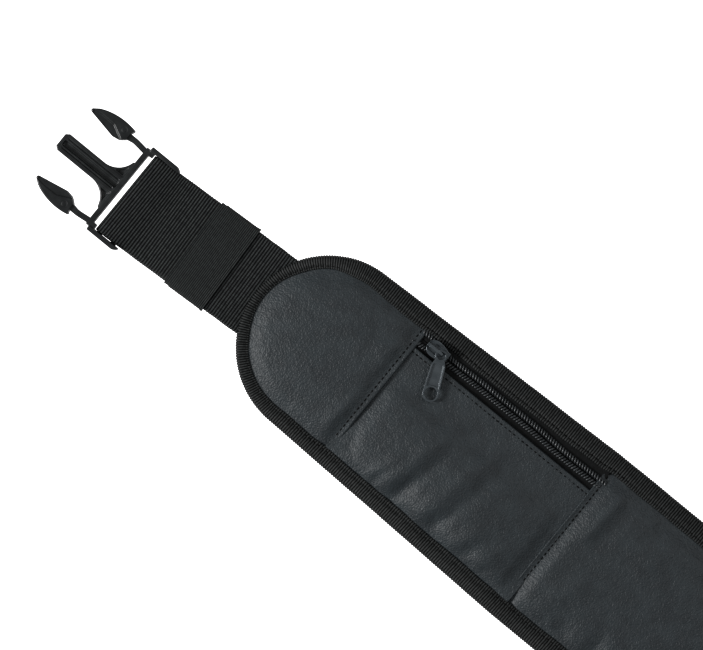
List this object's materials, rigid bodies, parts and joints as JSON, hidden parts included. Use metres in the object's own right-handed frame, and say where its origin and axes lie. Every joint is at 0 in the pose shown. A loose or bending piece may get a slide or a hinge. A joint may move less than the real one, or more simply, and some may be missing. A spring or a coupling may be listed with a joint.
{
  "type": "dive weight belt",
  "caption": "Padded synthetic leather weight belt with zipped shot pockets, bound edges, webbing straps, elastic keepers and a side release buckle.",
  "frame": {"origin": "centre of the pad's flat back face", "axes": "+X along the belt from the plug half towards the socket half, +Y across it towards the zips, +Z out of the pad's front"},
  "size_m": [0.9225, 0.108, 0.0133],
  "materials": {
    "leather": "satin",
    "foam": "matte",
    "lining": "matte",
    "binding": "matte",
    "webbing": "matte",
    "elastic": "matte",
    "zip_tape": "matte",
    "zip_coil": "satin",
    "lead": "matte",
    "sleeve": "matte",
    "slider_metal": "satin",
    "buckle_plastic": "satin"
  },
  "bodies": {
    "centre": {"centre_cover": "leather", "centre_foam": "foam", "centre_backing": "lining", "centre_top_binding": "binding", "centre_bottom_binding": "binding"},
    "left_pocket": {"left_pocket_panel": "leather", "left_pocket_bag": "lining", "left_shot_sleeve": "sleeve", "left_lead_shot": "lead", "left_lower_zip_tape": "zip_tape", "left_upper_zip_tape": "zip_tape", "left_lower_zip_coil": "zip_coil", "left_upper_zip_coil": "zip_coil", "left_pocket_foam": "foam", "left_pocket_backing": "lining", "left_pocket_top_binding": "binding", "left_pocket_bottom_binding": "binding"},
    "left_end": {"left_end_cover": "leather", "left_end_foam": "foam", "left_end_backing": "lining", "left_end_binding": "binding", "left_webbing_tab": "webbing"},
    "left_slider": {"left_zip_slider": "slider_metal"},
    "left_pull": {"left_zip_pull": "slider_metal"},
    "left_strap": {"left_webbing_strap": "webbing"},
    "left_keeper": {"left_elastic_keeper": "elastic"},
    "right_pocket": {"right_pocket_panel": "leather", "right_pocket_bag": "lining", "right_shot_sleeve": "sleeve", "right_lead_shot": "lead", "right_lower_zip_tape": "zip_tape", "right_upper_zip_tape": "zip_tape", "right_lower_zip_coil": "zip_coil", "right_upper_zip_coil": "zip_coil", "right_pocket_foam": "foam", "right_pocket_backing": "lining", "right_pocket_top_binding": "binding", "right_pocket_bottom_binding": "binding"},
    "right_end": {"right_end_cover": "leather", "right_end_foam": "foam", "right_end_backing": "lining", "right_end_binding": "binding", "right_webbing_tab": "webbing"},
    "right_slider": {"right_zip_slider": "slider_metal"},
    "right_pull": {"right_zip_pull": "slider_metal"},
    "right_strap": {"right_webbing_strap": "webbing"},
    "right_keeper": {"right_elastic_keeper": "elastic"},
    "plug": {"plug_frame": "buckle_plastic", "left_webbing_loop": "webbing"},
    "socket": {"socket_shell": "buckle_plastic", "right_webbing_loop": "webbing"},
    "upper_arm": {"plug_upper_arm": "buckle_plastic"},
    "lower_arm": {"plug_lower_arm": "buckle_plastic"}
  },
  "joints": [
    {"name": "left_pocket_fold", "type": "hinge", "parent": "centre", "child": "left_pocket", "pos_m": [-0.127, 0, 0], "axis": [0, -1, 0], "range_deg": [0, 40]},
    {"name": "right_pocket_fold", "type": "hinge", "parent": "centre", "child": "right_pocket", "pos_m": [0.127, 0, 0], "axis": [0, 1, 0], "range_deg": [0, 40]},
    {"name": "left_end_fold", "type": "hinge", "parent": "left_pocket", "child": "left_end", "pos_m": [-0.247, 0, 0], "axis": [0, -1, 0], "range_deg": [0, 40]},
    {"name": "right_end_fold", "type": "hinge", "parent": "right_pocket", "child": "right_end", "pos_m": [0.247, 0, 0], "axis": [0, 1, 0], "range_deg": [0, 40]},
    {"name": "left_strap_fold", "type": "hinge", "parent": "left_end", "child": "left_strap", "pos_m": [-0.33, 0.0002, 0], "axis": [0.0506, -0.9987, 0], "range_deg": [0, 45]},
    {"name": "right_strap_fold", "type": "hinge", "parent": "right_end", "child": "right_strap", "pos_m": [0.33, 0.0002, 0], "axis": [0.0506, 0.9987, 0], "range_deg": [0, 45]},
    {"name": "left_buckle_fold", "type": "hinge", "parent": "left_strap", "child": "plug", "pos_m": [-0.39592, -0.00314, 0], "axis": [0.0506, -0.9987, 0], "range_deg": [0, 35]},
    {"name": "right_buckle_fold", "type": "hinge", "parent": "right_strap", "child": "socket", "pos_m": [0.39592, -0.00314, 0], "axis": [0.0506, 0.9987, 0], "range_deg": [0, 35]},
    {"name": "left_keeper_slide", "type": "slide", "parent": "left_strap", "child": "left_keeper", "axis": [0.9987, 0.0506, 0], "range_m": [-0.021, 0.012]},
    {"name": "right_keeper_slide", "type": "slide", "parent": "right_strap", "child": "right_keeper", "axis": [-0.9987, 0.0506, 0], "range_m": [-0.021, 0.012]},
    {"name": "left_zip_slide", "type": "slide", "parent": "left_pocket", "child": "left_slider", "axis": [1, 0, 0], "range_m": [0, 0.1]},
    {"name": "right_zip_slide", "type": "slide", "parent": "right_pocket", "child": "right_slider", "axis": [-1, 0, 0], "range_m": [0, 0.1]},
    {"name": "left_pull_lift", "type": "hinge", "parent": "left_slider", "child": "left_pull", "pos_m": [-0.2341, 0.0369, 0.0094], "axis": [-0.9157, -0.4019, 0], "range_deg": [0, 50]},
    {"name": "right_pull_lift", "type": "hinge", "parent": "right_slider", "child": "right_pull", "pos_m": [0.2341, 0.0369, 0.0094], "axis": [-0.9157, 0.4019, 0], "range_deg": [0, 50]},
    {"name": "upper_arm_flex", "type": "hinge", "parent": "plug", "child": "upper_arm", "pos_m": [-0.4233, 0.01997, 0.0041], "axis": [0, 0, 1], "range_deg": [0, 7], "stiffness_Nm_per_rad": 3},
    {"name": "lower_arm_flex", "type": "hinge", "parent": "plug", "child": "lower_arm", "pos_m": [-0.4233, -0.02838, 0.0041], "axis": [0, 0, -1], "range_deg": [0, 7], "stiffness_Nm_per_rad": 3}
  ]
}
